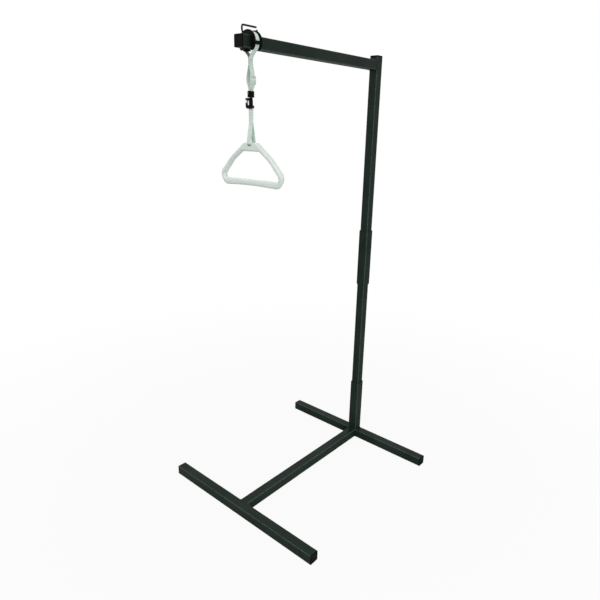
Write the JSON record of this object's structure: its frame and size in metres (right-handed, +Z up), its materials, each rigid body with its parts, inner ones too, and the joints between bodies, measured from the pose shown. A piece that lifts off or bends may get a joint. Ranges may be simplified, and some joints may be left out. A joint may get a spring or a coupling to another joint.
{
  "type": "freestanding trapeze",
  "caption": "Floor-standing bed trapeze: square-tube base and mast, horizontal arm, and a triangular hand grip hung on webbing and a swivel snap hook.",
  "frame": {"origin": "on the floor, under the middle of the outline", "axes": "+Z up, -Y the way the arm points from the mast, X across the legs and along the grip"},
  "size_m": [0.787, 0.842, 1.8155],
  "materials": {
    "frame_paint": "satin dark green-grey enamel",
    "black_plastic": "fine matt",
    "black_steel": "satin black",
    "bright_steel": "polished",
    "white_plastic": "soft satin",
    "white_webbing": "flat woven"
  },
  "bodies": {
    "base": {"front_leg": "frame_paint", "rear_leg_left": "frame_paint", "rear_leg_right": "frame_paint", "spine_tube": "frame_paint", "mast_socket": "frame_paint", "socket_floor_plate": "frame_paint", "front_plug_left": "black_plastic", "front_plug_right": "black_plastic", "rear_plug_left": "black_plastic", "rear_plug_right": "black_plastic"},
    "mast_lower": {"lower_mast": "frame_paint", "coupler_sleeve": "frame_paint"},
    "mast_upper": {"upper_mast": "frame_paint", "mast_cap": "black_plastic", "arm": "frame_paint", "arm_end_cap": "black_plastic", "rear_stop_pin": "black_steel"},
    "retainer": {"retainer_wire": "black_steel"},
    "saddle": {"strap_saddle": "black_plastic"},
    "strap_upper": {"upper_strap": "white_webbing", "strap_slider": "white_plastic"},
    "head": {"swivel_head": "black_plastic", "head_pin": "bright_steel"},
    "hook": {"swivel_hook": "black_plastic", "swivel_stud": "bright_steel", "strap_pin": "bright_steel", "gate_pin": "bright_steel", "gate_spring": "bright_steel"},
    "gate": {"hook_gate": "bright_steel"},
    "grip": {"lower_strap": "white_webbing", "grip_handle": "white_plastic"}
  },
  "joints": [
    {"name": "lower_mast_lift", "type": "slide", "parent": "base", "child": "mast_lower", "axis": [0, 0, 1], "range_m": [0, 0.28]},
    {"name": "upper_mast_lift", "type": "slide", "parent": "mast_lower", "child": "mast_upper", "axis": [0, 0, 1], "range_m": [0, 0.11]},
    {"name": "retainer_turn", "type": "hinge", "parent": "mast_upper", "child": "retainer", "pos_m": [0, -0.3564, 1.7656], "axis": [0, 0, 1], "continuous": true},
    {"name": "saddle_slide", "type": "slide", "parent": "mast_upper", "child": "saddle", "axis": [0, 1, 0], "range_m": [0, 0.0095]},
    {"name": "upper_strap_swing", "type": "hinge", "parent": "saddle", "child": "strap_upper", "pos_m": [0, -0.3232, 1.7656], "axis": [0, 1, 0], "range_deg": [-30, 30]},
    {"name": "head_swing", "type": "hinge", "parent": "strap_upper", "child": "head", "pos_m": [0, -0.3232, 1.61515], "axis": [0, 1, 0], "range_deg": [-13, 13]},
    {"name": "hook_swivel", "type": "hinge", "parent": "head", "child": "hook", "pos_m": [0, -0.3232, 1.60155], "axis": [0, 0, 1], "continuous": true},
    {"name": "gate_hinge", "type": "hinge", "parent": "hook", "child": "gate", "pos_m": [-0.015, -0.3232, 1.59565], "axis": [0, -1, 0], "range_deg": [0, 30], "stiffness_Nm_per_rad": 0.05, "springref_deg": -20.05, "deforming": ["gate_spring"]},
    {"name": "lower_strap_swing", "type": "hinge", "parent": "hook", "child": "grip", "pos_m": [0, -0.3232, 1.57215], "axis": [1, 0, 0], "range_deg": [-13, 13]}
  ]
}
